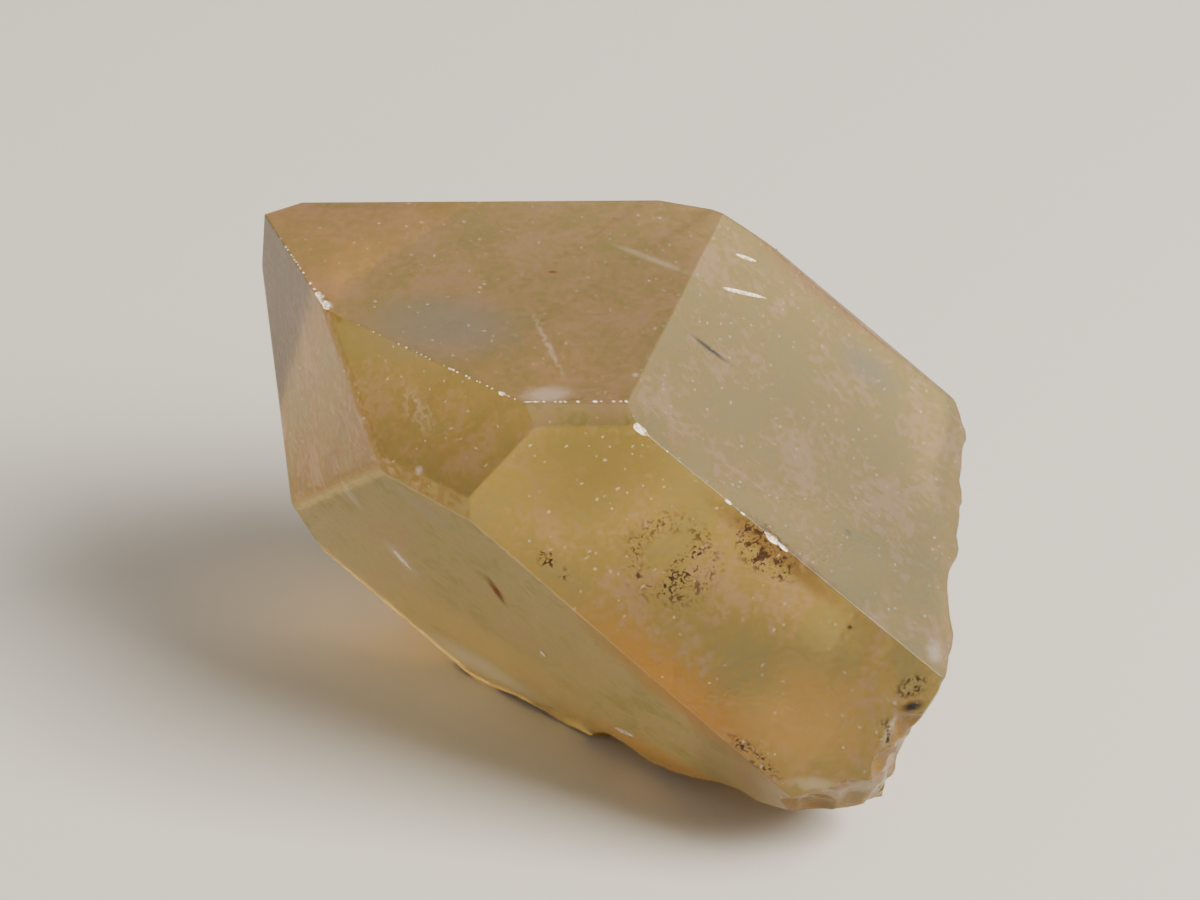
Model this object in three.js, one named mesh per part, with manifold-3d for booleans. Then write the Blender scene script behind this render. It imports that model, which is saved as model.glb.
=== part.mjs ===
// Citrine crystal point, millimetres, +Z up. The crystal lies on its broken base with its tip raised to the left.
// The origin is the middle of the flat foot of the base, in the plane of the surface that it rests on.
import * as THREE from 'three';
import { mergeVertices } from 'three/addons/utils/BufferGeometryUtils.js';
import Module from 'manifold-3d';

// Pose: the long axis points to the tip. HEADING is its direction over the surface, counted from +X towards +Y,
// LEAN is its angle from the vertical, and TURN rolls the crystal about its own long axis.
const HEADING = 165.65;
const LEAN = 50.57;
const TURN = 112.41;

// The point inside the crystal from which every flat face is measured.
const CENTRE = new THREE.Vector3(-2.5, -1, 13.5);

// Size of the rough block that the faces are cut from, and of the tool that takes away one side of a plane.
const BLOCK = 80;
const TOOL = 120;

// Growth ledges on the far prism face: the face steps in towards the tip. Each one is the depth that it steps in
// by and how far along the axis from CENTRE it starts.
const LEDGE_FACE = [180.0, 0.0, 11.6];
const LEDGES = [
  [0.25, -4.5],
  [0.55, 1.5],
  [0.8, 4.8],
];

// Growth faces as azimuth about the long axis, slope above the prism plane and distance from CENTRE.
// Quartz has prism faces 60 degrees apart at slope 0, pyramid faces at slope 38.2 and small bevels at 24.4.
// The few tenths of a degree off those angles are the slight tilts that each grown face has.
const PRISM_FACES = [
  [60.7, 1.0, 12.01],
  [359.6, 0.1, 14.39],
  [299.7, 0.6, 10.34],
  [120.0, 0.6, 13.55],
  [240.0, 0.0, 16.18],
  LEDGE_FACE,
];
const PYRAMID_FACES = [
  [59.9, 38.3, 12.95],
  [0.1, 37.6, 16.53],
  [299.4, 38.5, 15.61],
  [119.8, 37.7, 14.63],
  [239.8, 38.8, 18.24],
  [180.0, 38.2, 15.94],
];
const BEVEL_FACES = [
  [30.1, 24.7, 15.82],
  [330.8, 23.6, 16.11],
];

// Worn shoulder between the top face and the far upper prism face, as two narrow flats.
const SHOULDER_FLATS = [
  [117.3, 25.0, 14.51],
  [115.7, 9.9, 14.08],
];

// Broken faces as heading over the surface, rise above it and distance from CENTRE.
const RIGHT_END = [1.3, -20.5, 15.85];
const FRONT_CORNER = [-35.8, -19.8, 20.76];
const FRONT_LIP = [-74.6, -29.5, 20.5];
const UNDERSIDE = [-88, -66, 15.3];
const FOOT = [90, -90, 13.5];
const BROKEN_FACES = [RIGHT_END, FRONT_CORNER, FRONT_LIP, UNDERSIDE, FOOT];

// Shell-shaped hollows that cover the broken right end, in staggered rows. They overlap, so ridges stay between them.
const END_HOLLOW_PITCH = 4.7;
const END_HOLLOW_RADIUS = 6.6;
const END_HOLLOW_DEPTH = 0.55;
const END_HOLLOW_ROWS = 3;

// Shallow hollows in the foot. They stay apart, so the flat between them still carries the crystal.
const FOOT_HOLLOW_PITCH = 5.9;
const FOOT_HOLLOW_RADIUS = 6.2;
const FOOT_HOLLOW_DEPTH = 0.35;
const FOOT_HOLLOW_ROWS = 2;

// Bites out of the lower edges of the break, as [x, y, z, radius] of the ball that leaves each one.
const FRONT_EDGE_BITES = [
  [11.7, -17.7, 9.5, 1.6],
  [13.1, -17.1, 11.2, 1.1],
  [11.0, -18.6, 6.9, 1.2],
  [8.8, -18.1, 4.0, 1.7],
  [7.1, -18.3, 4.1, 1.6],
  [9.9, -16.9, 3.1, 1.0],
  [5.7, -18.5, 4.3, 1.5],
  [13.4, -11.8, 2.8, 1.5],
  [13.9, -14.0, 7.5, 1.3],
  [12.0, -12.7, 1.3, 1.3],
];
const LOWER_EDGE_BITES = [
  [-3.1, -7.8, -1.2, 3.0],
  [1.6, -12.6, -0.2, 2.5],
  [-7.4, -3.0, -2.6, 2.9],
  [3.6, -13.8, -1.3, 4.5],
  [7.6, -14.1, -1.1, 4.5],
  [9.5, -11.8, -0.8, 3.5],
];

// Chips knocked out of the sharp edges, as [x, y, z, radius].
const EDGE_CHIPS = [
  [-18.6, -3.2, 26.5, 0.62],
  [-19.2, -1.6, 26.7, 0.5],
  [-19.7, 0.3, 26.8, 0.42],
  [-20.5, 1.9, 26.9, 0.36],
  [-11.8, -8.7, 25.9, 0.36],
  [-10.7, -9.5, 25.8, 0.4],
  [-9.2, -10.8, 25.7, 0.38],
  [-14.3, -6.8, 26.0, 0.3],
  [-1.9, -12.8, 24.8, 0.48],
  [3.1, -14.1, 20.6, 0.4],
  [4.8, -14.6, 19.3, 0.62],
  [5.5, -14.7, 18.6, 0.46],
  [7.9, -15.3, 16.7, 0.38],
  [9.9, -15.7, 15.1, 0.36],
  [13.6, -16.5, 12.9, 0.75],
];
const CHIP_STRETCH = 1.7;

// Smoothness of the balls: a wide hollow gets more flats than a chip.
const HOLLOW_DETAIL = 3;
const CHIP_DETAIL = 1;

const CITRINE_COLOUR = 0xb08a45;

const wasm = await Module();
wasm.setup();

/** Turns a closed geometry into a solid that can be cut and joined. */
function toSolid(geometry) {
  const bare = geometry.clone();
  bare.deleteAttribute('normal');
  bare.deleteAttribute('uv');
  const merged = mergeVertices(bare, 1e-5);
  return new wasm.Manifold(new wasm.Mesh({
    numProp: 3,
    vertProperties: new Float32Array(merged.attributes.position.array),
    triVerts: new Uint32Array(merged.index.array),
  }));
}

/** Turns a solid back into a geometry whose faces are flat, with sharp edges between them. */
function toGeometry(solid) {
  const mesh = solid.getMesh();
  const geometry = new THREE.BufferGeometry();
  geometry.setAttribute('position', new THREE.BufferAttribute(new Float32Array(mesh.vertProperties), 3));
  geometry.setIndex(new THREE.BufferAttribute(new Uint32Array(mesh.triVerts), 1));
  const flat = geometry.toNonIndexed();
  flat.computeVertexNormals();
  return flat;
}

/** Gives the unit vector at an angle around the Z axis and an angle above the plane across it. */
function direction(around, above) {
  const a = THREE.MathUtils.degToRad(around);
  const b = THREE.MathUtils.degToRad(above);
  return new THREE.Vector3(Math.cos(a) * Math.cos(b), Math.sin(a) * Math.cos(b), Math.sin(b));
}

/** Gives the rotation from the crystal's own axes to the resting pose. */
function restingTurn() {
  const across = new THREE.Vector3(0, 1, 0);
  const up = new THREE.Vector3(0, 0, 1);
  const turn = new THREE.Quaternion().setFromAxisAngle(up, THREE.MathUtils.degToRad(TURN));
  const lean = new THREE.Quaternion().setFromAxisAngle(across, THREE.MathUtils.degToRad(LEAN));
  const heading = new THREE.Quaternion().setFromAxisAngle(up, THREE.MathUtils.degToRad(HEADING));
  return heading.multiply(lean).multiply(turn);
}

/** Takes away all that lies beyond a plane, given by its outward normal and distance from CENTRE. */
function cutFlat(solid, normal, distance) {
  const tool = new THREE.BoxGeometry(TOOL, TOOL, TOOL);
  const place = new THREE.Matrix4().compose(
    normal.clone().multiplyScalar(distance + TOOL / 2).add(CENTRE),
    new THREE.Quaternion().setFromUnitVectors(new THREE.Vector3(0, 0, 1), normal),
    new THREE.Vector3(1, 1, 1),
  );
  tool.applyMatrix4(place);
  return solid.subtract(toSolid(tool));
}

/** Takes a ball out of the solid, stretched along the long axis of the crystal. */
function cutBall(solid, centre, radius, detail, stretch) {
  const ball = new THREE.IcosahedronGeometry(radius, detail);
  const place = new THREE.Matrix4().compose(centre, restingTurn(), new THREE.Vector3(1, 1, stretch));
  ball.applyMatrix4(place);
  return solid.subtract(toSolid(ball));
}

/** Cuts staggered rows of shell-shaped hollows into a broken face. */
function cutHollows(solid, [heading, rise, distance], pitch, radius, depth, rows) {
  const outward = direction(heading, rise);
  const sideways = direction(heading + 90, 0);
  const upward = new THREE.Vector3().crossVectors(outward, sideways);
  let hollowed = solid;
  for (let row = -rows; row <= rows; row += 1) {
    for (let column = -rows; column <= rows; column += 1) {
      const uneven = Math.sin(12.9 * row + 7.3 * column + 1);
      const size = radius * (1 + 0.2 * uneven);
      const bite = depth * (1 + 0.3 * Math.cos(5.1 * row - 3.7 * column));
      const across = pitch * (column + (row % 2) / 2 + 0.18 * uneven);
      const along = pitch * 0.87 * (row + 0.15 * uneven);
      const centre = outward.clone().multiplyScalar(distance + size - bite).add(CENTRE);
      centre.addScaledVector(sideways, across);
      centre.addScaledVector(upward, along);
      hollowed = cutBall(hollowed, centre, size, HOLLOW_DETAIL, 1);
    }
  }
  return hollowed;
}

/** Builds the grown crystal: prism, pyramid, bevels and worn shoulder. */
function grownCrystal() {
  const block = new THREE.BoxGeometry(BLOCK, BLOCK, BLOCK);
  block.translate(CENTRE.x, CENTRE.y, CENTRE.z);
  let crystal = toSolid(block);
  const turn = restingTurn();
  for (const [azimuth, slope, distance] of [...PRISM_FACES, ...PYRAMID_FACES, ...BEVEL_FACES, ...SHOULDER_FLATS]) {
    crystal = cutFlat(crystal, direction(azimuth, slope).applyQuaternion(turn), distance);
  }
  return crystal;
}

/** Steps the far prism face in towards the tip, one thin slab for each ledge. */
function stepFace(crystal) {
  const turn = restingTurn();
  const outward = direction(LEDGE_FACE[0], LEDGE_FACE[1]).applyQuaternion(turn);
  const tipward = direction(0, 90).applyQuaternion(turn);
  const sideways = new THREE.Vector3().crossVectors(outward, tipward);
  const axes = new THREE.Matrix4().makeBasis(sideways, outward, tipward);
  let stepped = crystal;
  for (const [depth, start] of LEDGES) {
    const slab = new THREE.BoxGeometry(TOOL, TOOL, TOOL);
    slab.translate(0, LEDGE_FACE[2] - depth + TOOL / 2, start + TOOL / 2);
    slab.applyMatrix4(axes);
    slab.translate(CENTRE.x, CENTRE.y, CENTRE.z);
    stepped = stepped.subtract(toSolid(slab));
  }
  return stepped;
}

/** Breaks the crystal off at its base: flat breaks first, then the hollows and bites in them. */
function breakBase(crystal) {
  let broken = crystal;
  for (const [heading, rise, distance] of BROKEN_FACES) {
    broken = cutFlat(broken, direction(heading, rise), distance);
  }
  broken = cutHollows(broken, RIGHT_END, END_HOLLOW_PITCH, END_HOLLOW_RADIUS, END_HOLLOW_DEPTH, END_HOLLOW_ROWS);
  broken = cutHollows(broken, FOOT, FOOT_HOLLOW_PITCH, FOOT_HOLLOW_RADIUS, FOOT_HOLLOW_DEPTH, FOOT_HOLLOW_ROWS);
  for (const [x, y, z, radius] of [...FRONT_EDGE_BITES, ...LOWER_EDGE_BITES]) {
    broken = cutBall(broken, new THREE.Vector3(x, y, z), radius, HOLLOW_DETAIL, 1);
  }
  return broken;
}

/** Knocks the small chips out of the edges. */
function chipEdges(crystal) {
  let chipped = crystal;
  for (const [x, y, z, radius] of EDGE_CHIPS) {
    chipped = cutBall(chipped, new THREE.Vector3(x, y, z), radius, CHIP_DETAIL, CHIP_STRETCH);
  }
  return chipped;
}

const citrine = new THREE.MeshStandardMaterial({ color: CITRINE_COLOUR, roughness: 0.2, metalness: 0 });
const crystal = new THREE.Mesh(toGeometry(chipEdges(breakBase(stepFace(grownCrystal())))), citrine);
crystal.name = 'citrine_crystal';

const point = new THREE.Group();
point.add(crystal);

export default point;
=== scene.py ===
"""Citrine crystal point, metres, +Z up, lying on its broken base with the tip raised to the left.

The crystal is cut out of one block: growth faces and worn edges first, then the rough breaks of the base and the
small chips in the edges. The lengths in the fields are millimetres, and MM turns them into metres.
"""

import logging
import math
import random
from dataclasses import dataclass
from enum import Enum

import bpy
from mathutils import Matrix, Vector


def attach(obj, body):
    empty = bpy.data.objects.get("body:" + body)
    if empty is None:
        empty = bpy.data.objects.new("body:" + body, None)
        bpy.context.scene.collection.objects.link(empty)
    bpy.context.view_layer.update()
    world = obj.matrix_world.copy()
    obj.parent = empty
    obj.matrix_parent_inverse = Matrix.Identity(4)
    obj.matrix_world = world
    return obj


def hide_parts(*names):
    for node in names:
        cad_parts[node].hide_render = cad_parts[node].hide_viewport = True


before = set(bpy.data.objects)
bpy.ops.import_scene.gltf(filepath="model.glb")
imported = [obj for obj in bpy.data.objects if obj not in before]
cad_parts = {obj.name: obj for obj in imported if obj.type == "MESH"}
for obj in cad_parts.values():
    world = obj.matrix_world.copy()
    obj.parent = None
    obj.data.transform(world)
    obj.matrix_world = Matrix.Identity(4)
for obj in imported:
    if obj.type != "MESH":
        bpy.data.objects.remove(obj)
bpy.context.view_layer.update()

MM = 0.001
NODE = "citrine_crystal"
# The colour attribute that holds each face's colour with its painted light and shade.
BODY = "root"
SHADED_TONE = "face_tone_and_shade"
COLOUR_MIX = {"data_type": "RGBA"}

log = logging.getLogger("citrine_point")


class Wear(Enum):
    """How round an edge between two growth faces is: radius of the rounding in millimetres and number of flats."""

    CRISP = (0.06, 2)
    BLUNT = (0.2, 3)
    WORN = (0.6, 7)


class Surface(Enum):
    """What a face of the crystal's mesh is, kept as its material index while the crystal is cut."""

    GROWN = 0
    CHIP = 1
    BREAK = 2


def linear(code: str) -> tuple[float, float, float, float]:
    """Turns an sRGB hex colour into linear red, green, blue and alpha.

    Args:
        code: six hex digits, such as "b08a45".

    Returns:
        The linear colour with alpha 1.
    """
    channels = [int(code[i : i + 2], 16) / 255 for i in (0, 2, 4)]
    red, green, blue = (c / 12.92 if c <= 0.04045 else ((c + 0.055) / 1.055) ** 2.4 for c in channels)
    return red, green, blue, 1.0


def direction(around: float, above: float) -> Vector:
    """Gives the unit vector at an angle around the Z axis and an angle above the plane across it.

    Args:
        around: angle around Z, in degrees.
        above: angle above the plane, in degrees.

    Returns:
        The unit vector.
    """
    a, b = math.radians(around), math.radians(above)
    return Vector((math.cos(a) * math.cos(b), math.sin(a) * math.cos(b), math.sin(b)))


def add_node(tree: bpy.types.NodeTree, kind: str, settings: dict | None = None, **inputs: object) -> bpy.types.Node:
    """Adds a shader node, sets it and links it.

    Args:
        tree: the node tree.
        kind: the node's type name.
        settings: the node's own properties.
        inputs: values or output sockets for its inputs, by name with _ for a space, or i0, i1 by number.

    Returns:
        The new node.
    """
    node = tree.nodes.new(kind)
    for name, value in (settings or {}).items():
        setattr(node, name, value)
    for name, value in inputs.items():
        by_number = name[0] == "i" and name[1:].isdigit()
        socket = node.inputs[int(name[1:])] if by_number else node.inputs[name.replace("_", " ")]
        if isinstance(value, bpy.types.NodeSocket):
            tree.links.new(value, socket)
        else:
            socket.default_value = value
    return node


def deselect() -> None:
    """Deselects everything and leaves nothing active."""
    bpy.ops.object.select_all(action="DESELECT")
    bpy.context.view_layer.objects.active = None


def activate(piece: bpy.types.Object) -> None:
    """Selects one object alone and makes it active.

    Args:
        piece: the object.
    """
    deselect()
    piece.select_set(True)
    bpy.context.view_layer.objects.active = piece


def settle(piece: bpy.types.Object) -> None:
    """Moves an object's place, turn and scale into its mesh."""
    activate(piece)
    bpy.ops.object.transform_apply(location=True, rotation=True, scale=True)


def cut_away(piece: bpy.types.Object, cutter: bpy.types.Object, leaves: Surface) -> None:
    """Takes the cutter's solid out of the piece and removes the cutter.

    Args:
        piece: the mesh that is cut.
        cutter: the closed mesh that is taken away.
        leaves: what the new faces are.
    """
    for kind in piece.data.materials:
        cutter.data.materials.append(kind)
    for polygon in cutter.data.polygons:
        polygon.material_index = leaves.value
    activate(piece)
    cut = piece.modifiers.new("cut", "BOOLEAN")
    cut.operation = "DIFFERENCE"
    cut.solver = "MANIFOLD"
    cut.object = cutter
    bpy.ops.object.modifier_apply(modifier=cut.name)
    spare = cutter.data
    bpy.data.objects.remove(cutter)
    bpy.data.meshes.remove(spare)


def per(millimetres: float) -> float:
    """Gives the texture scale at which a pattern repeats about every so many millimetres."""
    return 1 / (millimetres * MM)


def roughen(piece: bpy.types.Object, texture: bpy.types.Texture, height: float, middle: float, along: str,
            group: str) -> None:
    """Moves the points of a mesh by a texture, and applies it.

    Args:
        piece: the mesh.
        texture: the procedural texture.
        height: how far a point moves from the texture's black to its white, in metres.
        middle: the texture value at which a point stays.
        along: the direction, "Z" or "NORMAL".
        group: the vertex group that moves, or "" for all points.
    """
    activate(piece)
    push = piece.modifiers.new("roughen", "DISPLACE")
    push.texture = texture
    push.texture_coords = "LOCAL"
    push.direction = along
    push.strength = height
    push.mid_level = middle
    push.vertex_group = group
    bpy.ops.object.modifier_apply(modifier=push.name)
    bpy.data.textures.remove(texture)


@dataclass(frozen=True)
class Resting:
    """How the crystal lies: the heading and lean of its long axis and its roll about that axis, in degrees.

    All flat faces are measured from the centre, a point inside the crystal.
    """

    heading: float = 165.65
    lean: float = 50.57
    roll: float = 112.41
    centre: Vector = Vector((-2.5, -1.0, 13.5))

    def turn(self) -> Matrix:
        """Gives the rotation from the crystal's own axes to the resting pose.

        Returns:
            The rotation, with the crystal's long axis as its own Z.
        """
        around = Matrix.Rotation(math.radians(self.heading), 3, "Z")
        over = Matrix.Rotation(math.radians(self.lean), 3, "Y")
        own = Matrix.Rotation(math.radians(self.roll), 3, "Z")
        return around @ over @ own

    def face(self, azimuth: float, slope: float) -> Vector:
        """Gives the outward normal of a growth face at rest."""
        return self.turn() @ direction(azimuth, slope)


@dataclass(frozen=True)
class GrowthFace:
    """One flat growth face: azimuth about the long axis, slope, distance from the centre, and its colour as sRGB hex:
    the quartz's own colour with that face's painted light and shade in it.
    """

    azimuth: float
    slope: float
    distance: float
    tone: str


@dataclass
class GrownCrystal:
    """The crystal as it grew: prism, pyramid and bevel faces, the worn shoulder and the ledges of the far face."""

    resting: Resting
    block: float = 80.0
    # Each face's colour is partly painted light and shade: made lighter or darker face by face to show how that face
    # is lit, over the quartz's own amber.
    faces: tuple[GrowthFace, ...] = (
        GrowthFace(60.7, 1.0, 12.01, "b29c4e"),
        GrowthFace(359.6, 0.1, 14.39, "bba350"),
        GrowthFace(299.7, 0.6, 10.34, "ddd296"),
        GrowthFace(120.0, 0.6, 13.55, "bda571"),
        GrowthFace(240.0, 0.0, 16.18, "bd9e5d"),
        GrowthFace(180.0, 0.0, 11.6, "bba26c"),
        GrowthFace(59.9, 38.3, 12.95, "bfa676"),
        GrowthFace(0.1, 37.6, 16.53, "bda65c"),
        GrowthFace(299.4, 38.5, 15.61, "966c08"),
        GrowthFace(119.8, 37.7, 14.63, "baa175"),
        GrowthFace(239.8, 38.8, 18.24, "b08e3c"),
        GrowthFace(180.0, 38.2, 15.94, "b89e6e"),
        GrowthFace(30.1, 24.7, 15.82, "d2be80"),
        GrowthFace(330.8, 23.6, 16.11, "86701c"),
        GrowthFace(117.3, 25.0, 14.51, "b1925d"),
        GrowthFace(115.7, 9.9, 14.08, "b1925d"),
    )
    # Pairs of faces, by their place in the list, whose common edge is widely worn.
    worn_pairs: tuple[tuple[int, int], ...] = ((8, 10), (2, 8), (2, 4), (7, 8), (0, 3))
    shoulder: tuple[int, ...] = (14, 15)
    ledge_face: int = 5
    # Each ledge as the depth that the face steps in by and where it starts along the axis.
    ledges: tuple[tuple[float, float], ...] = ((0.25, -4.5), (0.55, 1.5), (0.8, 4.8))
    # Edges that turn less than the first angle stay as they are; a worn one turns more than the second.
    gentle_turn: float = 12.0
    sharp_turn: float = 30.0
    same_plane: float = 1e-7

    def build(self) -> bpy.types.Object:
        """Cuts the growth faces out of a block and rounds the edges.

        Returns:
            The crystal before it was broken off, as one closed mesh.
        """
        deselect()
        bpy.ops.mesh.primitive_cube_add(size=self.block * MM, location=self.resting.centre * MM)
        crystal = bpy.context.active_object
        crystal.name = "citrine_point"
        crystal.data.name = "citrine_point"
        settle(crystal)
        for surface in Surface:
            crystal.data.materials.append(bpy.data.materials.new(surface.name.lower()))
        for face in self.faces:
            self.cut_face(face)
        self.round_edges(crystal)
        for depth, start in self.ledges:
            cut_away(crystal, self.ledge_slab(depth, start), Surface.GROWN)
        return crystal

    def plane(self, face: GrowthFace) -> tuple[Vector, Vector]:
        """Gives a point on a growth face, in metres, and its outward normal."""
        normal = self.resting.face(face.azimuth, face.slope)
        return (self.resting.centre + normal * face.distance) * MM, normal

    def cut_face(self, face: GrowthFace) -> None:
        """Cuts one growth face with a bisect that is filled again.

        Args:
            face: the growth face. The crystal is the active object.
        """
        point, normal = self.plane(face)
        bpy.ops.object.mode_set(mode="EDIT")
        bpy.ops.mesh.select_all(action="SELECT")
        bpy.ops.mesh.bisect(plane_co=point, plane_no=normal, use_fill=True, clear_outer=True,
                            threshold=self.same_plane)
        bpy.ops.object.mode_set(mode="OBJECT")

    def face_at(self, normal: Vector) -> int:
        """Gives the number of the growth face whose normal is nearest to the given one."""
        return max(range(len(self.faces)), key=lambda i: self.plane(self.faces[i])[1].dot(normal))

    def round_edges(self, crystal: bpy.types.Object) -> None:
        """Rounds the worn edges widely and all others just enough to catch the light.

        Args:
            crystal: the sharp crystal.
        """
        for wear in (Wear.WORN, Wear.BLUNT, Wear.CRISP):
            width, flats = wear.value
            bpy.ops.object.mode_set(mode="EDIT")
            bpy.ops.mesh.select_all(action="DESELECT")
            bpy.ops.object.mode_set(mode="OBJECT")
            normals_at: dict[tuple[int, int], list[Vector]] = {}
            for polygon in crystal.data.polygons:
                for key in polygon.edge_keys:
                    normals_at.setdefault(key, []).append(polygon.normal.copy())
            for edge in crystal.data.edges:
                first, second = normals_at[edge.key]
                edge.select = self.wear_of(first, second) is wear
            bpy.ops.object.mode_set(mode="EDIT")
            bpy.ops.mesh.bevel(offset=width * MM, segments=flats, affect="EDGES", clamp_overlap=False)
            bpy.ops.object.mode_set(mode="OBJECT")

    def wear_of(self, first: Vector, second: Vector) -> Wear | None:
        """Tells how round the edge between two faces is, or None where they already turn gently.

        Args:
            first: one face's normal.
            second: the other face's normal.

        Returns:
            The wear, or None.
        """
        turn = first.angle(second)
        low, high = sorted((self.face_at(first), self.face_at(second)))
        if turn < math.radians(self.gentle_turn):
            return None
        if (low, high) in self.worn_pairs and turn > math.radians(self.sharp_turn):
            return Wear.WORN
        if low in self.shoulder or high in self.shoulder:
            return Wear.BLUNT
        return Wear.CRISP

    def ledge_slab(self, depth: float, start: float) -> bpy.types.Object:
        """Makes the slab that steps the far prism face in, from a place along the axis to the tip.

        Args:
            depth: how far the face steps in.
            start: where the step starts, along the axis from the centre.

        Returns:
            The slab, in place.
        """
        face = self.faces[self.ledge_face]
        outward = self.resting.face(face.azimuth, face.slope)
        tipward = self.resting.face(0.0, 90.0)
        sideways = outward.cross(tipward)
        axes = Matrix((sideways, outward, tipward)).transposed()
        size = self.block
        middle = outward * (face.distance - depth + size / 2) + tipward * (start + size / 2)
        deselect()
        place = (self.resting.centre + middle) * MM
        bpy.ops.mesh.primitive_cube_add(size=size * MM, location=place, rotation=axes.to_euler())
        slab = bpy.context.active_object
        settle(slab)
        return slab


@dataclass(frozen=True)
class BrokenFace:
    """One broken face: its heading, rise and distance from the centre, and how rough it is.

    Its shell-shaped hollows are so wide, and they reach from depth inside the flat face to lift less depth outside
    it. Hackle is the height of the fine ridges on them.
    """

    heading: float
    rise: float
    distance: float
    hollow: float
    depth: float
    lift: float
    hackle: float


@dataclass(frozen=True)
class Bite:
    """A shell-shaped piece that broke out, as the middle and radius of the ball that it leaves."""

    x: float
    y: float
    z: float
    radius: float


@dataclass
class BrokenBase:
    """The break at the base: five rough faces, and bites along their edges."""

    resting: Resting
    faces: tuple[BrokenFace, ...] = (
        BrokenFace(1.3, -20.5, 15.85, 5.2, 1.0, 1.5, 0.30),
        BrokenFace(-35.8, -19.8, 21.3, 3.4, 0.4, 0.9, 0.28),
        BrokenFace(-74.6, -29.5, 20.5, 2.6, 0.4, 0.8, 0.22),
        BrokenFace(-88, -66, 15.3, 4.0, 0.6, 1.2, 0.24),
        BrokenFace(90, -90, 13.5, 5.0, 0.5, 1.6, 0.14),
    )
    bites: tuple[Bite, ...] = (
        Bite(11.95, -18.83, 9.35, 2.0),
        Bite(11.3, -19.2, 7.6, 2.0),
        Bite(13.9, -17.6, 11.2, 0.9),
        Bite(12.3, -17.9, 6.6, 0.9),
        Bite(9.2, -18.7, 3.7, 1.4),
        Bite(7.1, -18.3, 4.1, 1.6),
        Bite(9.9, -16.9, 3.1, 1.0),
        Bite(5.7, -18.5, 4.3, 1.5),
        Bite(13.4, -11.8, 2.8, 1.5),
        Bite(13.9, -14.0, 7.5, 1.3),
        Bite(12.0, -12.7, 1.3, 1.3),
        Bite(-3.1, -7.8, -1.2, 3.0),
        Bite(1.6, -12.6, -0.2, 2.5),
        Bite(-7.4, -3.0, -2.6, 2.9),
        Bite(3.6, -13.8, -1.3, 4.5),
        Bite(7.6, -14.1, -1.1, 4.5),
        Bite(9.5, -11.8, -0.8, 3.5),
    )
    # Sides of the flat slabs and of the rough ones, how finely a rough side is divided, and its bare rim.
    reach: float = 120.0
    span: float = 40.0
    cuts: int = 110
    rim_share: float = 0.999
    facing_down: float = -0.9
    # The hackle's width as a share of the hollows', and its octaves.
    hackle_share: float = 0.25
    hackle_octaves: int = 4
    # The balls' detail, and their lumps' width and height as shares of the radius.
    ball_detail: int = 4
    lump_width: float = 0.6
    lump_height: float = 0.22
    lump_octaves: int = 3

    def build(self, crystal: bpy.types.Object) -> None:
        """Breaks the crystal off: flat breaks first, then the rough hollows, then the bites.

        Args:
            crystal: the grown crystal, which is cut in place.
        """
        for face in self.faces:
            cut_away(crystal, self.flat_slab(face), Surface.BREAK)
        for face in self.faces:
            cut_away(crystal, self.rough_slab(face), Surface.BREAK)
        for bite in self.bites:
            cut_away(crystal, self.rough_ball(bite), Surface.BREAK)

    def set_against(self, slab: bpy.types.Object, face: BrokenFace) -> None:
        """Turns a slab that stands on the XY plane so that it lies against a broken face from outside.

        Args:
            slab: the slab.
            face: the broken face.
        """
        outward = direction(face.heading, face.rise)
        slab.rotation_euler = outward.to_track_quat("Z", "Y").to_euler()
        slab.location = (self.resting.centre + outward * face.distance) * MM
        settle(slab)

    def upright_slab(self, size: float) -> bpy.types.Object:
        """Makes a cube that stands on the XY plane.

        Args:
            size: its side, in metres.

        Returns:
            The cube.
        """
        deselect()
        bpy.ops.mesh.primitive_cube_add(size=size, location=(0, 0, size / 2))
        slab = bpy.context.active_object
        settle(slab)
        return slab

    def flat_slab(self, face: BrokenFace) -> bpy.types.Object:
        """Makes the wide flat slab that takes away all that lies beyond a broken face.

        Args:
            face: the broken face.

        Returns:
            The slab, in place.
        """
        slab = self.upright_slab(self.reach * MM)
        self.set_against(slab, face)
        return slab

    def rough_slab(self, face: BrokenFace) -> bpy.types.Object:
        """Makes a slab with one hackly side, which lies against the broken face from outside.

        Args:
            face: the broken face.

        Returns:
            The slab, in place.
        """
        size = self.span * MM
        slab = self.upright_slab(size)
        bpy.ops.object.mode_set(mode="EDIT")
        bpy.ops.mesh.select_all(action="DESELECT")
        bpy.ops.object.mode_set(mode="OBJECT")
        for polygon in slab.data.polygons:
            polygon.select = polygon.normal.z < self.facing_down
        bpy.ops.object.mode_set(mode="EDIT")
        bpy.ops.mesh.subdivide(number_cuts=self.cuts)
        bpy.ops.object.mode_set(mode="OBJECT")
        rim = size / 2 * self.rim_share
        inner = slab.vertex_groups.new(name="inner")
        inside = [v.index for v in slab.data.vertices if v.co.z < MM and max(abs(v.co.x), abs(v.co.y)) < rim]
        inner.add(inside, 1.0, "REPLACE")
        hollows = bpy.data.textures.new("hollows", "VORONOI")
        hollows.distance_metric = "DISTANCE_SQUARED"
        hollows.noise_scale = face.hollow * MM
        roughen(slab, hollows, face.lift * MM, face.depth / face.lift, "Z", inner.name)
        hackle = bpy.data.textures.new("hackle", "CLOUDS")
        hackle.noise_scale = face.hollow * MM * self.hackle_share
        hackle.noise_depth = self.hackle_octaves
        roughen(slab, hackle, face.hackle * MM * 2, 0.5, "Z", inner.name)
        self.set_against(slab, face)
        return slab

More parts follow.
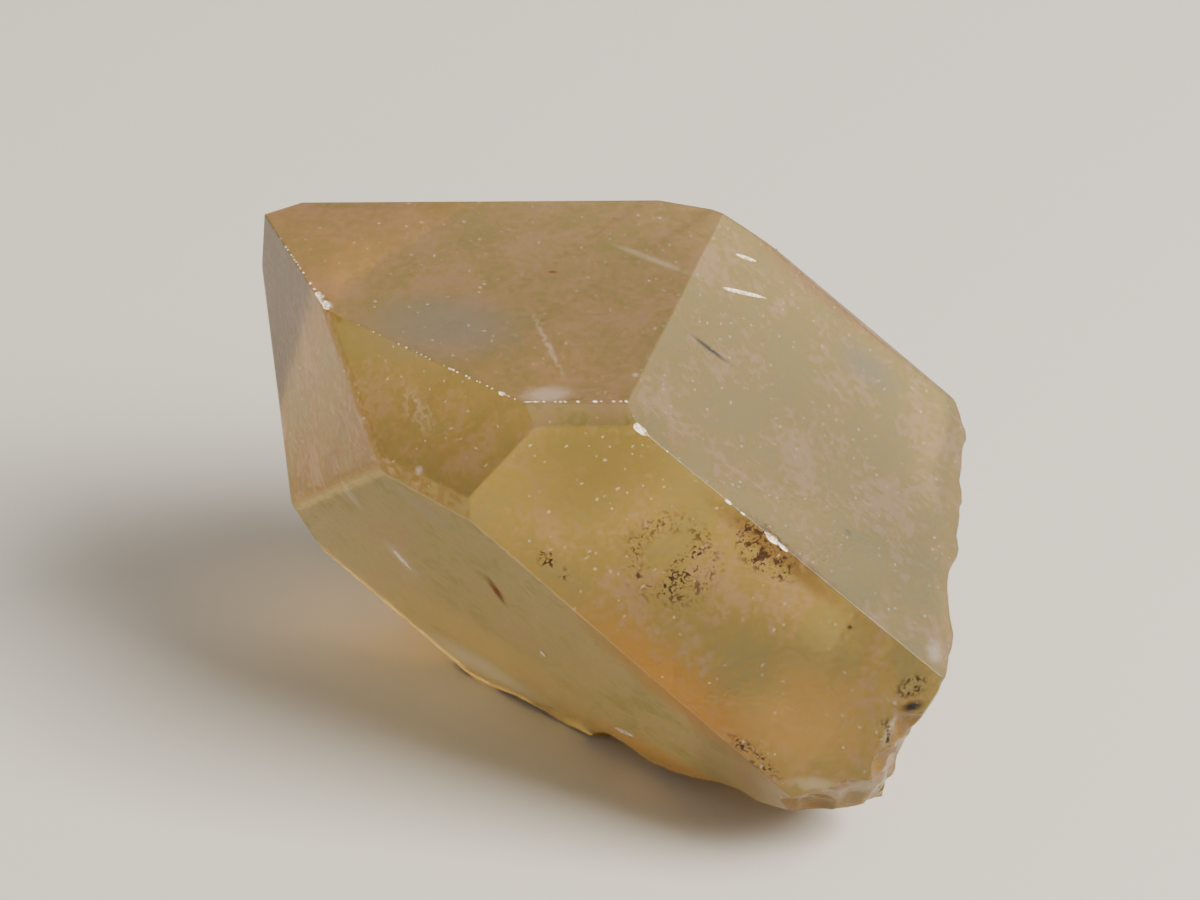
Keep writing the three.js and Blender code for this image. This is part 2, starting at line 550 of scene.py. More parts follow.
    def rough_ball(self, bite: Bite) -> bpy.types.Object:
        """Makes the uneven ball whose imprint is one bite.

        Args:
            bite: the bite.

        Returns:
            The ball, in place.
        """
        deselect()
        place = Vector((bite.x, bite.y, bite.z)) * MM
        bpy.ops.mesh.primitive_ico_sphere_add(subdivisions=self.ball_detail, radius=bite.radius * MM, location=place)
        ball = bpy.context.active_object
        settle(ball)
        lumps = bpy.data.textures.new("lumps", "CLOUDS")
        lumps.noise_scale = bite.radius * MM * self.lump_width
        lumps.noise_depth = self.lump_octaves
        roughen(ball, lumps, bite.radius * MM * self.lump_height, 0.5, "NORMAL", "")
        return ball


@dataclass(frozen=True)
class ChippedEdge:
    """A stretch of edge with small chips: its two growth faces and its ends, and how many chips and how big."""

    first: int
    second: int
    start: tuple[float, float, float]
    end: tuple[float, float, float]
    count: int
    smallest: float
    largest: float


@dataclass(frozen=True)
class Nick:
    """A shallow bright nick in a growth face: the face, its ends and its width."""

    face: int
    start: tuple[float, float, float]
    end: tuple[float, float, float]
    width: float


@dataclass
class EdgeChips:
    """The small chips that show white: the big ones by place, the fine ones by stretch of edge, and face nicks."""

    grown: GrownCrystal
    chips: tuple[Bite, ...] = (
        Bite(-18.3, -3.3, 26.45, 0.44),
        Bite(-18.7, -2.5, 26.55, 0.4),
        Bite(-19.2, -1.6, 26.6, 0.28),
        Bite(-19.8, 0.3, 26.75, 0.2),
        Bite(-12.7, -8.05, 25.9, 0.16),
        Bite(-11.4, -9.0, 25.8, 0.22),
        Bite(-10.1, -10.05, 25.7, 0.18),
        Bite(-9.1, -10.75, 25.65, 0.26),
        Bite(-1.9, -12.75, 24.65, 0.34),
        Bite(2.5, -13.85, 21.0, 0.2),
        Bite(3.3, -14.1, 20.4, 0.24),
        Bite(4.75, -14.5, 19.2, 0.36),
        Bite(5.3, -14.65, 18.75, 0.3),
        Bite(7.9, -15.25, 16.6, 0.16),
        Bite(13.6, -16.5, 12.9, 0.6),
    )
    stretches: tuple[ChippedEdge, ...] = (
        ChippedEdge(6, 8, (-21.4, 3.8, 26.85), (-17.9, -3.7, 26.1), 34, 0.05, 0.13),
        ChippedEdge(6, 8, (-19.2, -1.6, 26.35), (-17.9, -3.8, 26.1), 26, 0.1, 0.24),
        ChippedEdge(6, 7, (-17.6, -4.05, 26.05), (-8.2, -11.25, 25.4), 40, 0.04, 0.1),
        ChippedEdge(6, 7, (-12.8, -7.8, 25.72), (-8.6, -10.95, 25.43), 14, 0.08, 0.16),
        ChippedEdge(6, 12, (-8.2, -11.4, 25.38), (-2.6, -11.45, 25.41), 24, 0.05, 0.11),
        ChippedEdge(0, 1, (-1.9, -12.66, 24.47), (12.4, -16.4, 12.7), 10, 0.04, 0.08),
        ChippedEdge(0, 1, (4.3, -14.22, 19.4), (5.4, -14.5, 18.5), 7, 0.1, 0.2),
    )
    nicks: tuple[Nick, ...] = (
        Nick(0, (2.4, -0.65, 25.49), (4.6, 0.44, 24.26), 0.26),
        Nick(0, (3.1, 2.07, 25.91), (4.2, 2.45, 25.24), 0.24),
        Nick(2, (-14.9, -4.43, 11.6), (-14.0, -4.13, 10.2), 0.45),
        Nick(2, (-3.3, -8.5, 3.05), (-2.2, -9.6, 3.3), 0.5),
        Nick(2, (-7.1, -8.8, 8.25), (-6.9, -8.6, 7.75), 0.28),
    )
    nick_depth: float = 0.03
    nick_detail: int = 4
    # A fine chip's middle lies outside the edge by a share of its radius between these two.
    outside: tuple[float, float] = (0.55, 0.9)
    # A chip is longer along the crystal's axis, and its lumps are half as wide and high as its radius.
    stretch: float = 1.7
    lumpiness: float = 0.5
    chip_detail: int = 2
    seed: int = 7

    def build(self, crystal: bpy.types.Object) -> None:
        """Knocks the chips out of the edges and the nicks out of the faces.

        Args:
            crystal: the grown crystal, which is cut in place.
        """
        for chip in self.chips:
            cut_away(crystal, self.splinter(Vector((chip.x, chip.y, chip.z)), chip.radius), Surface.CHIP)
        draw = random.Random(self.seed)
        for edge in self.stretches:
            outward = sum((self.grown.plane(self.grown.faces[i])[1] for i in (edge.first, edge.second)), Vector())
            outward.normalize()
            for _ in range(edge.count):
                radius = draw.uniform(edge.smallest, edge.largest)
                along = Vector(edge.start).lerp(Vector(edge.end), draw.random())
                middle = along + outward * radius * draw.uniform(*self.outside)
                cut_away(crystal, self.splinter(middle, radius), Surface.CHIP)
        for nick in self.nicks:
            cut_away(crystal, self.sliver(nick), Surface.CHIP)

    def sliver(self, nick: Nick) -> bpy.types.Object:
        """Makes the long flat ball whose shallow imprint is one nick.

        Args:
            nick: the nick.

        Returns:
            The ball, in place.
        """
        deselect()
        point, outward = self.grown.plane(self.grown.faces[nick.face])
        first, second = Vector(nick.start) * MM, Vector(nick.end) * MM
        along = (second - first) - outward * (second - first).dot(outward)
        middle = (first + second) / 2
        middle -= outward * (middle - point).dot(outward)
        depth = self.nick_depth * MM
        half_wide = nick.width / 2 * MM
        radius = (half_wide ** 2 + depth ** 2) / (2 * depth)
        bpy.ops.mesh.primitive_ico_sphere_add(subdivisions=self.nick_detail, radius=radius)
        ball = bpy.context.active_object
        lumps = bpy.data.textures.new("lumps", "CLOUDS")
        lumps.noise_scale = half_wide
        settle(ball)
        roughen(ball, lumps, depth, 0.5, "NORMAL", "")
        ball.scale = (along.length / 2 / half_wide, 1, 1)
        side = outward.cross(along.normalized())
        ball.rotation_euler = Matrix((along.normalized(), side, outward)).transposed().to_euler()
        ball.location = middle + outward * (radius - depth)
        settle(ball)
        return ball

    def splinter(self, middle: Vector, radius: float) -> bpy.types.Object:
        """Makes a coarse ball, stretched along the crystal's axis, whose imprint is one chip.

        Args:
            middle: the ball's middle.
            radius: its radius.

        Returns:
            The ball, in place.
        """
        deselect()
        turn = self.grown.resting.turn().to_euler()
        bpy.ops.mesh.primitive_ico_sphere_add(subdivisions=self.chip_detail, radius=radius * MM,
                                              location=middle * MM, rotation=turn)
        ball = bpy.context.active_object
        ball.scale = (1, 1, self.stretch)
        settle(ball)
        lumps = bpy.data.textures.new("splinters", "CLOUDS")
        size = radius * MM * self.lumpiness
        lumps.noise_scale = size
        roughen(ball, lumps, size, 0.5, "NORMAL", "")
        return ball


class Rim(Enum):
    """How far the rim of a mark wanders, in millimetres."""

    SHARP = 0.16
    LOOSE = 0.7
    CLOUDY = 2.4


@dataclass(frozen=True)
class Mark:
    """A soft patch or streak of colour: a stain in the quartz, and for some marks painted light or shade, as an
    ellipsoid by its two ends and its width.

    One that starts where it ends is a small round spot.
    """

    colour: str
    start: tuple[float, float, float]
    end: tuple[float, float, float]
    width: float
    strength: float
    rim: Rim = Rim.CLOUDY


# The top face: a grey-green veil, two pale cracks, and bright and rusty specks.
TOP_FACE_MARKS: tuple[Mark, ...] = (
    Mark("a8a698", (-15.6, -4.6, 26.0), (-8.4, -5.6, 25.9), 7.4, 0.9),
    Mark("f0e6cc", (-3.9, 2.0, 26.8), (1.3, -1.4, 26.5), 0.7, 0.6, Rim.LOOSE),
    Mark("f2ecd4", (-8.0, -2.6, 26.2), (-5.4, -10.7, 25.5), 0.42, 0.65, Rim.LOOSE),
    Mark("8a4420", (-6.7, -0.7, 26.5), (-6.2, -0.75, 26.5), 0.36, 0.9, Rim.SHARP),
    Mark("fff8ec", (-2.2, -9.35, 25.62), (-2.2, -9.35, 25.62), 0.44, 1.0, Rim.SHARP),
    Mark("f8e6d4", (-7.9, -11.0, 25.4), (-5.4, -10.7, 25.45), 1.8, 1.0, Rim.SHARP),
)
# The face to its right: a grey veil, the dark needle, a speck, the brown upper edge and the pale lower corner.
UPPER_RIGHT_MARKS: tuple[Mark, ...] = (
    Mark("96968a", (8.6, 0.2, 21.2), (11.6, 0.0, 19.0), 3.8, 0.7),
    Mark("34382e", (0.3, -4.85, 25.55), (2.92, -5.28, 23.5), 0.46, 1.0, Rim.SHARP),
    Mark("6c675a", (8.65, -11.15, 17.3), (8.65, -11.15, 17.3), 0.6, 0.9, Rim.LOOSE),
    Mark("ac7e4c", (1.5, 4.4, 27.0), (14.8, 2.2, 17.4), 2.8, 0.8, Rim.LOOSE),
    Mark("f4ead8", (12.9, -15.9, 12.6), (13.2, -14.6, 13.0), 1.4, 0.8, Rim.LOOSE),
)
# The front face: darker olive at the top, which is painted shade, orange and gold lower down, which are painted glow
# of light passing through, dark specks, and at the corner a pale lip and the black crevice, which is painted shade.
FRONT_FACE_MARKS: tuple[Mark, ...] = (
    # Painted shade: the upper part of the face darker olive.
    Mark("8f8444", (-8.0, -13.6, 22.3), (-0.5, -12.8, 23.6), 8.0, 0.8),
    # Painted glow of light passing through: the lower part of the face orange.
    Mark("dc9c38", (-6.5, -15.3, 16.0), (5.5, -18.3, 6.3), 6.0, 0.85),
    Mark("7a5a2c", (0.4, -13.5, 22.0), (9.8, -15.6, 14.4), 1.7, 0.8, Rim.LOOSE),
    # Painted glow: golden patch at the lower right.
    Mark("ecbc5e", (4.0, -16.9, 11.0), (8.8, -17.3, 9.0), 8.0, 0.85),
    Mark("f4e4bc", (5.4, -18.05, 6.7), (8.4, -18.2, 6.4), 1.0, 0.7, Rim.LOOSE),
    Mark("20160c", (-2.07, -14.91, 17.2), (-2.07, -14.91, 17.2), 0.4, 1.0, Rim.SHARP),
    Mark("20160c", (8.62, -15.71, 14.6), (8.62, -15.71, 14.6), 0.34, 1.0, Rim.SHARP),
    Mark("f6e6b8", (11.1, -17.05, 10.2), (10.3, -17.6, 8.2), 0.8, 1.0, Rim.LOOSE),
    # Painted shade: the black of the crevice.
    Mark("0e0904", (11.15, -17.0, 10.35), (12.5, -16.9, 10.75), 0.85, 1.0, Rim.SHARP),
)
# The faces on the left: pale streaks, a rusty spot, the red inclusion, a golden band low down, and along the lower
# edge a painted glow of light coming through the crystal, cream then orange.
LEFT_SIDE_MARKS: tuple[Mark, ...] = (
    Mark("e0dcbc", (-13.8, -8.0, 24.8), (-12.5, -10.9, 22.6), 1.1, 0.65),
    Mark("fff8ec", (-13.15, -11.65, 21.4), (-13.15, -11.65, 21.4), 0.6, 1.0, Rim.SHARP),
    Mark("c07c44", (-19.3, -1.0, 21.9), (-19.3, -1.0, 21.9), 1.8, 0.6, Rim.LOOSE),
    Mark("d0ceb2", (-15.6, -9.7, 20.0), (-10.6, -11.9, 17.0), 1.8, 0.8, Rim.LOOSE),
    Mark("fbf2dc", (-17.5, -5.75, 16.8), (-16.4, -5.2, 14.8), 1.2, 0.9, Rim.LOOSE),
    Mark("fff6e4", (-15.4, -4.65, 12.6), (-13.6, -4.0, 9.5), 1.7, 1.0, Rim.LOOSE),
    Mark("6a1200", (-9.9, -10.85, 14.6), (-8.8, -9.6, 11.4), 1.1, 1.0, Rim.SHARP),
    Mark("f2d488", (-15.6, -0.3, 6.4), (-4.0, -8.0, 4.2), 7.0, 0.9),
    # Painted glow: cream light along the lower edge.
    Mark("fffcf0", (-13.9, 1.0, 2.6), (-7.0, -4.2, 1.6), 4.2, 1.0, Rim.LOOSE),
    # Painted glow: orange light along the lower edge.
    Mark("fcc068", (-6.9, -4.9, 2.0), (7.5, -15.6, 3.4), 4.2, 1.0, Rim.LOOSE),
)


@dataclass(frozen=True)
class Grime:
    """Where fine dark dirt sits in the surface, as an ellipsoid by its ends and width. A ring is bare inside."""

    start: tuple[float, float, float]
    end: tuple[float, float, float]
    width: float
    ring: bool = False


@dataclass(frozen=True)
class CitrineQuartz:
    """Citrine, quartz coloured by iron: clear amber under glossy growth faces, with haze, veils, stains and dirt, and
    with painted glints, glow and shade drawn in the colour.
    """

    # Grown faces are smooth but finely etched, so their gloss is satin and the inside is seen through a haze.
    name: str = "citrine_quartz"
    ior: float = 1.544
    see_through: float = 0.78
    roughness: float = 0.22
    specular: float = 0.25
    etching: float = 0.25
    etching_depth: float = 0.05
    # White light that has gone through so many millimetres has turned amber.
    amber: str = "f0de94"
    amber_depth: float = 20.0
    # Clouds and finer grain, in millimetres, added up: pinkish above the middle and greenish below it. Each as
    # the sums at which it starts and is full, and how much of it there is then.
    cloud_size: float = 3.0
    cloud_roughness: float = 0.6
    grain_size: float = 0.5
    grain_roughness: float = 0.7
    octaves: float = 1.0
    pink: str = "cfae90"
    pink_ramp: tuple[float, float, float] = (1.0, 1.2, 0.65)
    green: str = "a9a268"
    green_ramp: tuple[float, float, float] = (1.0, 0.8, 0.7)
    # The grain also makes the rims of marks wander, along this direction.
    bend: tuple[float, float, float] = (1.0, -0.9, 1.1)
    # Painted glints: tiny pale dots of painted highlight, for the sparkle of growth pits: about how far apart, how big
    # the biggest is as a share of that, and its rim.
    painted_glint: str = "fff8ec"
    painted_glint_strength: float = 0.8
    glint_spacing: float = 0.38
    smallest_glint: float = 0.58
    biggest_glint: float = 0.26
    glint_rim: float = 0.05
    # Dark dirt sits in flecks about this wide, between these two levels of its noise.
    grime_colour: str = "30200c"
    fleck_size: float = 0.5
    fleck_octaves: float = 2.0
    fleck_roughness: float = 0.8
    fleck_levels: tuple[float, float] = (0.5, 0.57)
    # Where, from 0 in the middle of a spot to 1 at its rim, a mark and dirt are full and a ring turns from bare
    # to dirty.
    mark_full: float = 0.2
    grime_full: float = 0.65
    ring_levels: tuple[float, float] = (0.4, 0.7)
    marks: tuple[Mark, ...] = TOP_FACE_MARKS + UPPER_RIGHT_MARKS + FRONT_FACE_MARKS + LEFT_SIDE_MARKS
    grime: tuple[Grime, ...] = (
        Grime((-1.6, -14.9, 17.4), (0.9, -14.5, 18.6), 5.8, True),
        Grime((-1.0, -15.3, 15.9), (1.2, -14.4, 18.9), 1.7),
        Grime((3.0, -14.2, 19.8), (5.6, -14.9, 17.2), 2.6),
        Grime((2.4, -17.2, 9.3), (5.4, -18.0, 6.7), 1.0),
        Grime((-7.2, -14.6, 18.6), (-5.6, -15.0, 17.0), 1.0),
        Grime((11.2, -16.6, 11.3), (12.6, -16.5, 11.9), 1.3),
        Grime((10.3, -17.2, 9.9), (10.8, -17.6, 8.6), 1.0),
    )

    def build(self) -> bpy.types.Material:
        """Makes the material.

        Returns:
            The material for the crystal's first slot.
        """
        material = bpy.data.materials.new(self.name)
        material.use_nodes = True
        tree = material.node_tree
        tree.nodes.clear()
        place = add_node(tree, "ShaderNodeTexCoord").outputs["Object"]
        clouds = add_node(tree, "ShaderNodeTexNoise", Vector=place, Scale=per(self.cloud_size),
                          Detail=self.octaves, Roughness=self.cloud_roughness)
        grain = add_node(tree, "ShaderNodeTexNoise", Vector=place, Scale=per(self.grain_size),
                         Detail=self.octaves, Roughness=self.grain_roughness)
        uneven = add_node(tree, "ShaderNodeMath", {"operation": "SUBTRACT"}, i0=grain.outputs["Fac"], i1=0.5)
        bent = {rim: add_node(tree, "ShaderNodeVectorMath", {"operation": "MULTIPLY_ADD"}, i0=uneven.outputs[0],
                              i1=Vector(self.bend) * rim.value * MM, i2=place).outputs[0] for rim in Rim}
        colour = self.shaded_body_colour(tree, clouds, grain)
        for mark in self.marks:
            share = self.share(tree, bent[mark.rim], mark)
            colour = add_node(tree, "ShaderNodeMix", COLOUR_MIX, i0=share, i6=colour,
                              i7=linear(mark.colour)).outputs[2]
        # Painted highlight glints, and real dirt.
        colour = self.add_glints_and_dirt(tree, bent[Rim.LOOSE], colour)
        bump = add_node(tree, "ShaderNodeBump", Strength=self.etching, Distance=self.etching_depth * MM,
                        Height=grain.outputs["Fac"])
        skin = add_node(tree, "ShaderNodeBsdfPrincipled", Base_Color=colour, Roughness=self.roughness,
                        Normal=bump.outputs[0], IOR=self.ior, Transmission_Weight=self.see_through,
                        Specular_IOR_Level=self.specular)
        depth = add_node(tree, "ShaderNodeVolumeAbsorption", Color=linear(self.amber),
                         Density=per(self.amber_depth))
        add_node(tree, "ShaderNodeOutputMaterial", Surface=skin.outputs[0], Volume=depth.outputs[0])
        return material

    def shaded_body_colour(self, tree: bpy.types.NodeTree, clouds: bpy.types.Node,
                    grain: bpy.types.Node) -> bpy.types.NodeSocket:
        """Gives each face's colour, which holds that face's painted light and shade, with pinkish and greenish clouds
        and a fine mottle.

        Args:
            tree: the node tree.
            clouds: noise of a few millimetres.
            grain: noise of less than a millimetre.

        Returns:
            The colour.
        """
        tone = add_node(tree, "ShaderNodeAttribute", {"attribute_name": SHADED_TONE})
        hue = add_node(tree, "ShaderNodeMath", {"operation": "ADD"}, i0=clouds.outputs["Fac"],
                       i1=grain.outputs["Fac"])
        colour = tone.outputs["Color"]
        for over, (start, full, most) in ((self.pink, self.pink_ramp), (self.green, self.green_ramp)):
            share = add_node(tree, "ShaderNodeMapRange", Value=hue.outputs[0], From_Min=start, From_Max=full,
                             To_Max=most)
            colour = add_node(tree, "ShaderNodeMix", COLOUR_MIX, i0=share.outputs[0], i6=colour,
                              i7=linear(over)).outputs[2]
        return colour

    def remoteness(self, tree: bpy.types.NodeTree, place: bpy.types.NodeSocket,
                   spot: Mark | Grime) -> bpy.types.NodeSocket:
        """Measures how far a point is from the middle of a spot: 0 in its middle and 1 at its rim.

        Args:
            tree: the node tree.
            place: object coordinates.
            spot: the spot, an ellipsoid.

        Returns:
            The distance, as a share of the way to the rim.
        """
        first, second = Vector(spot.start), Vector(spot.end)
        along = (second - first).normalized()
        half_long, half_wide = (second - first).length / 2 + spot.width / 4, spot.width / 2
        size = half_wide * MM
        local = add_node(tree, "ShaderNodeVectorMath", {"operation": "MULTIPLY_ADD"}, i0=place,
                         i1=(1 / size,) * 3, i2=(first + second) * MM / -2 / size)
        lengthwise = add_node(tree, "ShaderNodeVectorMath", {"operation": "PROJECT"}, i0=local.outputs[0], i1=along)
        round_again = add_node(tree, "ShaderNodeVectorMath", {"operation": "MULTIPLY_ADD"}, i0=lengthwise.outputs[0],
                               i1=(half_wide / half_long - 1,) * 3, i2=local.outputs[0])
        return add_node(tree, "ShaderNodeVectorMath", {"operation": "LENGTH"},
                        i0=round_again.outputs[0]).outputs["Value"]

    def share(self, tree: bpy.types.NodeTree, place: bpy.types.NodeSocket, mark: Mark) -> bpy.types.NodeSocket:
        """Gives how strongly a mark shows at a point.

        Args:
            tree: the node tree.
            place: object coordinates.
            mark: the mark.

        Returns:
            The share.
        """
        if mark.start == mark.end:
            middle = Vector(mark.start) * MM
            far = add_node(tree, "ShaderNodeVectorMath", {"operation": "DISTANCE"}, i0=place, i1=middle)
            return add_node(tree, "ShaderNodeMapRange", Value=far.outputs["Value"], From_Min=mark.width / 2 * MM,
                            From_Max=mark.width / 8 * MM, To_Max=mark.strength).outputs[0]
        far = self.remoteness(tree, place, mark)
        return add_node(tree, "ShaderNodeMapRange", {"interpolation_type": "SMOOTHSTEP"}, Value=far,
                        From_Min=1.0, From_Max=self.mark_full, To_Max=mark.strength).outputs[0]

    def add_glints_and_dirt(self, tree: bpy.types.NodeTree, place: bpy.types.NodeSocket,
                 colour: bpy.types.NodeSocket) -> bpy.types.NodeSocket:
        """Adds tiny pale dots of painted highlight all over, for the glints of growth pits, and the dark dirt where it
        has gathered.

        Args:
            tree: the node tree.
            place: object coordinates, bent by noise.
            colour: the colour so far.

        Returns:
            The new colour.
        """
        # Painted highlight: pale glint dots scattered all over, drawn in the colour.
        glint_dots = add_node(tree, "ShaderNodeTexVoronoi", Vector=place, Scale=per(self.glint_spacing))
        pick = add_node(tree, "ShaderNodeSeparateColor", Color=glint_dots.outputs["Color"])
        size = add_node(tree, "ShaderNodeMapRange", Value=pick.outputs[0], From_Min=self.smallest_glint,
                        From_Max=1.0, To_Max=self.biggest_glint)
        inside = add_node(tree, "ShaderNodeMath", {"operation": "SUBTRACT"}, i0=size.outputs[0],
                          i1=glint_dots.outputs["Distance"])
        share = add_node(tree, "ShaderNodeMapRange", Value=inside.outputs[0], From_Max=self.glint_rim,
                         To_Max=self.painted_glint_strength)
        colour = add_node(tree, "ShaderNodeMix", COLOUR_MIX, i0=share.outputs[0], i6=colour,
                          i7=linear(self.painted_glint)).outputs[2]
        dirt = add_node(tree, "ShaderNodeTexNoise", Vector=place, Scale=per(self.fleck_size),
                        Detail=self.fleck_octaves, Roughness=self.fleck_roughness)
        clean, full = self.fleck_levels
        flecks = add_node(tree, "ShaderNodeMapRange", Value=dirt.outputs["Fac"], From_Min=clean, From_Max=full)
        gathered = 0.0
        for grime in self.grime:
            far = self.remoteness(tree, place, grime)
            here = add_node(tree, "ShaderNodeMapRange", Value=far, From_Min=1.0,
                            From_Max=self.grime_full).outputs[0]
            if grime.ring:
                bare, dirty = self.ring_levels
                ring = add_node(tree, "ShaderNodeMapRange", Value=far, From_Min=bare, From_Max=dirty).outputs[0]
                here = add_node(tree, "ShaderNodeMath", {"operation": "MULTIPLY"}, i0=here, i1=ring).outputs[0]
            gathered = add_node(tree, "ShaderNodeMath", {"operation": "MAXIMUM"}, i0=here, i1=gathered).outputs[0]
        dark = add_node(tree, "ShaderNodeMath", {"operation": "MULTIPLY"}, i0=flecks.outputs[0], i1=gathered)
        return add_node(tree, "ShaderNodeMix", COLOUR_MIX, i0=dark.outputs[0], i6=colour,
                        i7=linear(self.grime_colour)).outputs[2]


@dataclass(frozen=True)
class ChippedQuartz:
    """Fresh chips in quartz: many tiny cracks scatter the light, so they look white and frosted."""

    # A fresh break isn't etched: it glitters in fine grains of white and tan, drawn coarse enough to show.
    name: str = "chipped_quartz"
    ior: float = 1.544
    roughness: float = 0.35
    white: str = "fbf1e2"
    shade: str = "b08e5c"
    grain_size: float = 0.16
    octaves: float = 2.0
    white_levels: tuple[float, float] = (0.35, 0.6)
    bump: float = 0.6
    bump_depth: float = 0.05

    def build(self) -> bpy.types.Material:
        """Makes the material.

        Returns:
            The material for the crystal's second slot.
        """
        material = bpy.data.materials.new(self.name)
        material.use_nodes = True
        tree = material.node_tree
        tree.nodes.clear()
        place = add_node(tree, "ShaderNodeTexCoord").outputs["Object"]
        frost = add_node(tree, "ShaderNodeTexNoise", Vector=place, Scale=per(self.grain_size),
                         Detail=self.octaves)
        tan, full = self.white_levels
        share = add_node(tree, "ShaderNodeMapRange", Value=frost.outputs["Fac"], From_Min=tan, From_Max=full)
        colour = add_node(tree, "ShaderNodeMix", COLOUR_MIX, i0=share.outputs[0],
                          i6=linear(self.shade), i7=linear(self.white))
        bump = add_node(tree, "ShaderNodeBump", Strength=self.bump, Distance=self.bump_depth * MM,
                        Height=frost.outputs["Fac"])
        skin = add_node(tree, "ShaderNodeBsdfPrincipled", Base_Color=colour.outputs[2],
                        Roughness=self.roughness, Normal=bump.outputs[0], IOR=self.ior)
        add_node(tree, "ShaderNodeOutputMaterial", Surface=skin.outputs[0])
        return material


@dataclass
class CitrinePoint:
    """The whole crystal: grown, chipped, broken off, coloured face by face with painted light and shade in each face's
    colour, and dressed.

    On a rounded edge the colours of its faces blend, painted light and shade with them, and the higher the blend is,
    the narrower that band is.
    """

    resting: Resting
    break_tone: str = "cc9a30"
    shaded_tone_blend: int = 40
    doubled: float = 0.002
    degenerate: float = 0.001

    def build(self) -> bpy.types.Object:
        """Builds and dresses the crystal.

        Returns:
            The finished piece, which stands for the CAD node.
        """
        grown = GrownCrystal(self.resting)
        crystal = grown.build()
        log.info("grown crystal: %d faces", len(crystal.data.polygons))
        EdgeChips(grown).build(crystal)
        log.info("chipped edges: %d faces", len(crystal.data.polygons))
        BrokenBase(self.resting).build(crystal)
        log.info("broken base: %d faces", len(crystal.data.polygons))
        self.finish(crystal)
        self.dress(crystal, grown)
        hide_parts(NODE)
        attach(crystal, BODY)
        return crystal

    def finish(self, crystal: bpy.types.Object) -> None:
        """Merges doubled points and points all faces outwards.

        Args:
            crystal: the crystal once all cuts are made.
        """
        activate(crystal)
        bpy.ops.object.mode_set(mode="EDIT")
        bpy.ops.mesh.select_all(action="SELECT")
        bpy.ops.mesh.remove_doubles(threshold=self.doubled * MM)
        bpy.ops.mesh.dissolve_degenerate(threshold=self.degenerate * MM)
        bpy.ops.mesh.normals_make_consistent(inside=False)
        bpy.ops.object.mode_set(mode="OBJECT")

    def dress(self, crystal: bpy.types.Object, grown: GrownCrystal) -> None:
        """Gives each face its colour with its painted light and shade, its smooth or flat shading and its material.

        Args:
            crystal: the finished mesh.
            grown: the growth faces.
        """
        mesh = crystal.data
        kinds = [Surface(polygon.material_index) for polygon in mesh.polygons]
        mesh.materials.clear()
        mesh.materials.append(CitrineQuartz().build())
        mesh.materials.append(ChippedQuartz().build())
        planes = [grown.plane(face) for face in grown.faces]
        shaded_tones = [Vector(linear(face.tone)[:3]) for face in grown.faces]
        broken = Vector(linear(self.break_tone)[:3])
        tone = mesh.color_attributes.new(SHADED_TONE, "FLOAT_COLOR", "CORNER")
        for polygon, kind in zip(mesh.polygons, kinds):
            mixed = broken
            # Growth faces take their colours with painted light and shade, blended across rounded edges.
            if kind is Surface.GROWN:
                weights = [max(0.0, normal.dot(polygon.normal)) ** self.shaded_tone_blend for _, normal in planes]
                mixed = sum((hue * weight for hue, weight in zip(shaded_tones, weights)), Vector()) / sum(weights)
            polygon.material_index = 1 if kind is Surface.CHIP else 0
            polygon.use_smooth = kind is Surface.BREAK
            for corner in polygon.loop_indices:
                tone.data[corner].color = (*mixed, 1.0)


@dataclass(frozen=True)
class PaleFloor:
    """A board painted matt, which gives a plain pale floor."""

    # Matt paint shows its one colour alike from all sides and mirrors nothing. The side is in metres.
    name: str = "matt_painted_board"
    colour: str = "d6d2ca"
    roughness: float = 0.8
    side: float = 2.4
    cuts: int = 3

    def build(self) -> bpy.types.Object:
        """Makes the floor with its finish.

        Returns:
            The floor.
        """
        deselect()
        bpy.ops.mesh.primitive_plane_add(size=self.side, location=(0, 0, 0))
        floor = bpy.context.active_object
        floor.name = "floor"
        bpy.ops.object.mode_set(mode="EDIT")
        bpy.ops.mesh.subdivide(number_cuts=self.cuts)
        bpy.ops.object.mode_set(mode="OBJECT")
        material = bpy.data.materials.new(self.name)
        material.use_nodes = True
        tree = material.node_tree
        tree.nodes.clear()
        skin = add_node(tree, "ShaderNodeBsdfPrincipled", Base_Color=linear(self.colour),
                        Roughness=self.roughness)
        add_node(tree, "ShaderNodeOutputMaterial", Surface=skin.outputs[0])
        floor.data.materials.append(material)
        return floor


@dataclass(frozen=True)
class Lamp:
    """One soft studio lamp: where it hangs and its side in metres, its power and its colour."""

    name: str
    place: tuple[float, float, float]
    side: float
    watts: float
    colour: str


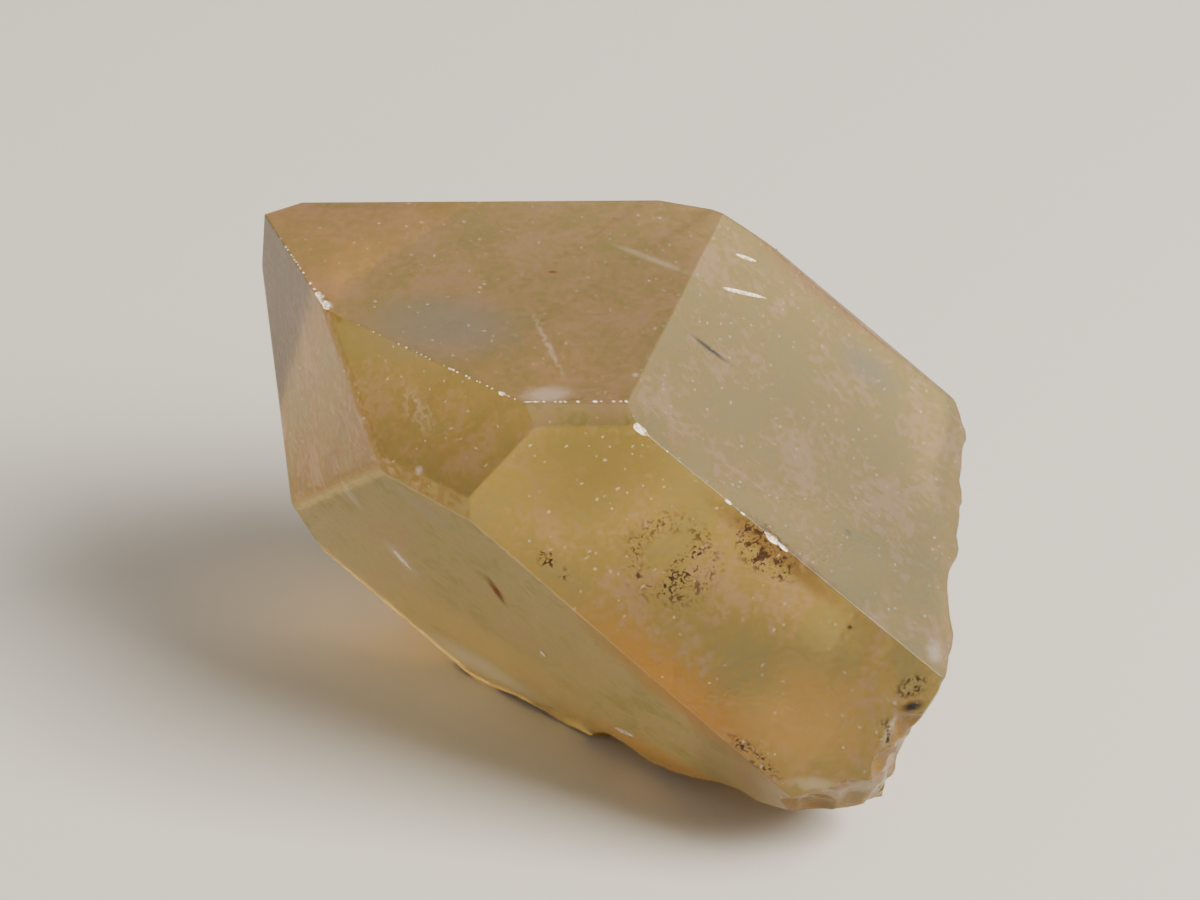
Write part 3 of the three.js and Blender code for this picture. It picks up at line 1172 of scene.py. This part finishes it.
@dataclass(frozen=True)
class Studio:
    """Plain soft studio light: one wide lamp above on the right, a weaker one behind it, and pale surroundings."""

    lamps: tuple[Lamp, ...] = (
        Lamp("key_lamp", (0.42, -0.22, 0.48), 0.36, 11.0, "fff6ea"),
        Lamp("fill_lamp", (0.60, 0.36, 0.36), 0.44, 1.0, "f8f6f2"),
    )
    aim: tuple[float, float, float] = (0, 0, 0.012)
    surroundings: str = "d4d2cc"
    surroundings_strength: float = 0.55

    def build(self) -> None:
        """Hangs the lamps and sets the surroundings."""
        for lamp in self.lamps:
            turn = (Vector(self.aim) - Vector(lamp.place)).to_track_quat("-Z", "Y").to_euler()
            bpy.ops.object.light_add(type="AREA", location=lamp.place, rotation=turn)
            light = bpy.context.active_object
            light.name = lamp.name
            light.data.shape = "SQUARE"
            light.data.size = lamp.side
            light.data.energy = lamp.watts
            light.data.color = linear(lamp.colour)[:3]
        world = bpy.data.worlds.new("pale_surroundings")
        world.use_nodes = True
        world.node_tree.nodes.clear()
        glow = add_node(world.node_tree, "ShaderNodeBackground", Color=linear(self.surroundings),
                        Strength=self.surroundings_strength)
        add_node(world.node_tree, "ShaderNodeOutputWorld", Surface=glow.outputs[0])
        bpy.context.scene.world = world


@dataclass(frozen=True)
class ViewCamera:
    """The camera at the photographed angle: 33 degrees above the surface, from the crystal's -Y side."""

    target: tuple[float, float, float] = (-4.0, -13.0, 23.5)
    elevation: float = 33.0
    distance: float = 250.0
    lens: float = 150.0
    sensor: float = 36.0
    nearest: float = 0.01
    farthest: float = 10.0

    def build(self) -> None:
        """Makes the camera and gives it to the scene."""
        rise = math.radians(self.elevation)
        back = Vector((0, -math.cos(rise), math.sin(rise)))
        place = (Vector(self.target) + back * self.distance) * MM
        bpy.ops.object.camera_add(location=place, rotation=(math.pi / 2 - rise, 0, 0))
        camera = bpy.context.active_object
        camera.name = "view_camera"
        camera.data.lens = self.lens
        camera.data.sensor_width = self.sensor
        camera.data.clip_start = self.nearest
        camera.data.clip_end = self.farthest
        bpy.context.scene.camera = camera


def main() -> None:
    """Builds the scene piece by piece."""
    logging.basicConfig(level=logging.INFO, format="%(message)s")
    ViewCamera().build()
    log.info("view_camera: 33 degrees above the surface")
    crystal = CitrinePoint(Resting()).build()
    log.info("%s: %d faces", crystal.name, len(crystal.data.polygons))
    floor = PaleFloor().build()
    log.info("%s: pale floor", floor.name)
    Studio().build()
    log.info("studio light")


if __name__ == "__main__":
    main()
